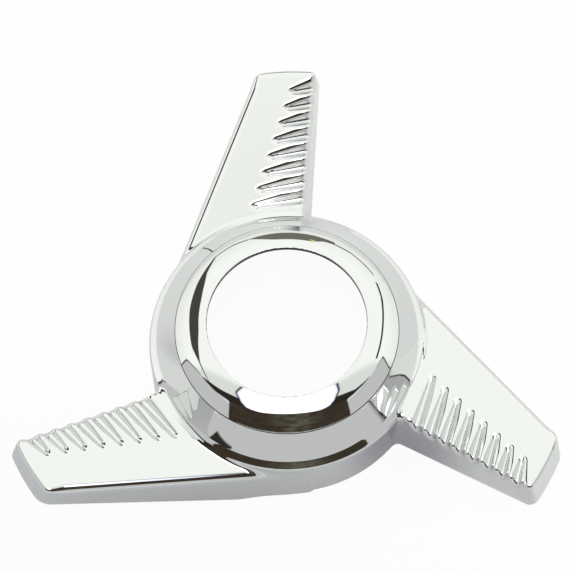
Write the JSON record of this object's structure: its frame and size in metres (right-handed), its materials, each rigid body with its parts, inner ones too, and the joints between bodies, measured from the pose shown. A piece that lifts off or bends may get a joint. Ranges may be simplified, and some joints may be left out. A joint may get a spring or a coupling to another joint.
{
  "type": "knock-off wheel spinner",
  "caption": "Domed chrome hub ring with an open centre and swept, serrated arms, clamped on a wheel's hub as a knock-off style ornament.",
  "frame": {"origin": "centre of the round hub socket, on the plane of the flat back rim", "axes": "+Z along the ring's axis toward the domed front, +Y along the first arm, with the arm's serrated edge on its +X side"},
  "size_m": [0.1299, 0.1151, 0.028],
  "materials": {
    "chrome_plate": "mirror-polished bright chrome plate"
  },
  "bodies": {
    "root": {"spinner_casting": "chrome_plate"}
  },
  "joints": []
}
